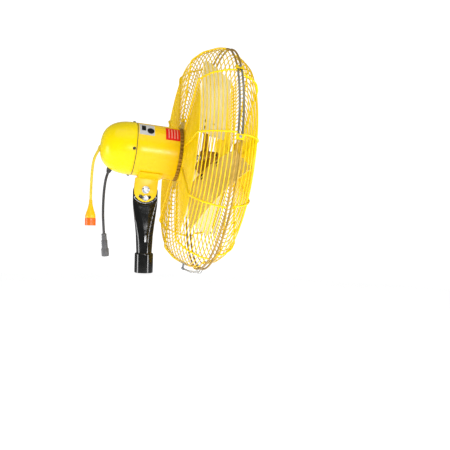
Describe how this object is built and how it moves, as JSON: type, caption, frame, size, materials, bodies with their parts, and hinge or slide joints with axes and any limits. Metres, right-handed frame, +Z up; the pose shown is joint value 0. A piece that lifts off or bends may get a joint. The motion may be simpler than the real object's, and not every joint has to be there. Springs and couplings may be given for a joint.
{
  "type": "axial air mover head",
  "caption": "Motor-driven axial fan in a round two-part wire ring guard, tilting on a two-cheek bracket over a tube adapter that sleeves onto a pole; short lead and outlet at the rear.",
  "frame": {"origin": "centre of the mouth of the pole socket, at the bottom of the collar", "axes": "+Z up the pole; +X the way the air leaves, level; the head rests nose down 6 degrees; -Y is the side with the labels"},
  "size_m": [0.4816, 0.6767, 0.6875],
  "materials": {
    "guard_yellow": "gloss",
    "motor_yellow": "gloss",
    "hoop_grey": "gloss",
    "pole_black": "gloss",
    "zinc": "bright zinc",
    "black_screw": "black oxide",
    "blade_metal": "mill",
    "dark_steel": "dark primer",
    "flange_tan": "satin",
    "bare_steel": "turned",
    "casting": "cast",
    "lamination": "laminated",
    "copper": "enamelled",
    "black_rubber": "matt",
    "yellow_rubber": "matt",
    "orange_rubber": "matt",
    "grey_rubber": "matt",
    "capacitor_grey": "matt",
    "terminal_white": "matt",
    "pale_label": "printed",
    "red_label": "printed",
    "pin_brass": "bright"
  },
  "bodies": {
    "yoke": {"pole_collar": "pole_black", "pole_set_screw": "zinc", "yoke_tube": "pole_black", "lock_bolt": "zinc", "lock_washers": "zinc", "lock_nut": "zinc"},
    "head": {"motor_shell": "motor_yellow", "cap_gasket": "black_rubber", "rear_cap": "motor_yellow", "cap_screws": "black_screw", "rear_bell": "casting", "front_bell": "casting", "motor_bearings": "bare_steel", "stator_core": "lamination", "stator_windings": "copper", "capacitor": "capacitor_grey", "capacitor_cup": "casting", "terminal_block": "terminal_white", "motor_flange": "flange_tan", "guard_mount_bolts": "zinc", "pictogram_label": "pale_label", "striped_label": "red_label", "saddle_plate": "motor_yellow", "tilt_ears": "motor_yellow", "pivot_bolt": "zinc", "pivot_washers": "zinc", "pivot_nut": "zinc", "rear_guard_face_rings": "guard_yellow", "rear_guard_side_rings": "guard_yellow", "rear_guard_ribs": "guard_yellow", "rear_hoop": "hoop_grey", "guard_mounting_plate": "guard_yellow", "front_guard_side_rings": "guard_yellow", "front_guard_face_rings": "guard_yellow", "front_guard_ribs": "guard_yellow", "front_hoop": "hoop_grey", "badge_plate": "guard_yellow", "guard_clips": "guard_yellow", "guard_clip_backs": "zinc", "guard_clip_screws": "zinc", "guard_clip_nuts": "zinc", "bail_hinge": "zinc", "yellow_gland": "yellow_rubber", "black_gland": "black_rubber", "yellow_cord": "yellow_rubber", "black_cord": "black_rubber", "connector_relief": "yellow_rubber", "connector_body": "yellow_rubber", "connector_end": "orange_rubber", "plug_body": "grey_rubber", "plug_pins": "pin_brass"},
    "rotor": {"blade_top": "blade_metal", "blade_near": "blade_metal", "blade_far": "blade_metal", "blade_spider": "dark_steel", "blade_rivets": "dark_steel", "hub_set_screw": "black_screw", "shaft": "bare_steel", "rotor_core": "lamination"},
    "bail": {"latch_bail": "zinc"}
  },
  "joints": [
    {"name": "head_tilt", "type": "hinge", "parent": "yoke", "child": "head", "pos_m": [0, 0, 0.25], "axis": [0, 1, 0], "range_deg": [-39, 10]},
    {"name": "rotor_spin", "type": "hinge", "parent": "head", "child": "rotor", "pos_m": [0.01223, 0, 0.36636], "axis": [0.9945, 0, -0.1045], "continuous": true},
    {"name": "bail_swing", "type": "hinge", "parent": "head", "child": "bail", "pos_m": [0.12361, 0.01675, 0.01018], "axis": [0.0051, 0.9988, 0.0486], "range_deg": [0, 100]}
  ]
}
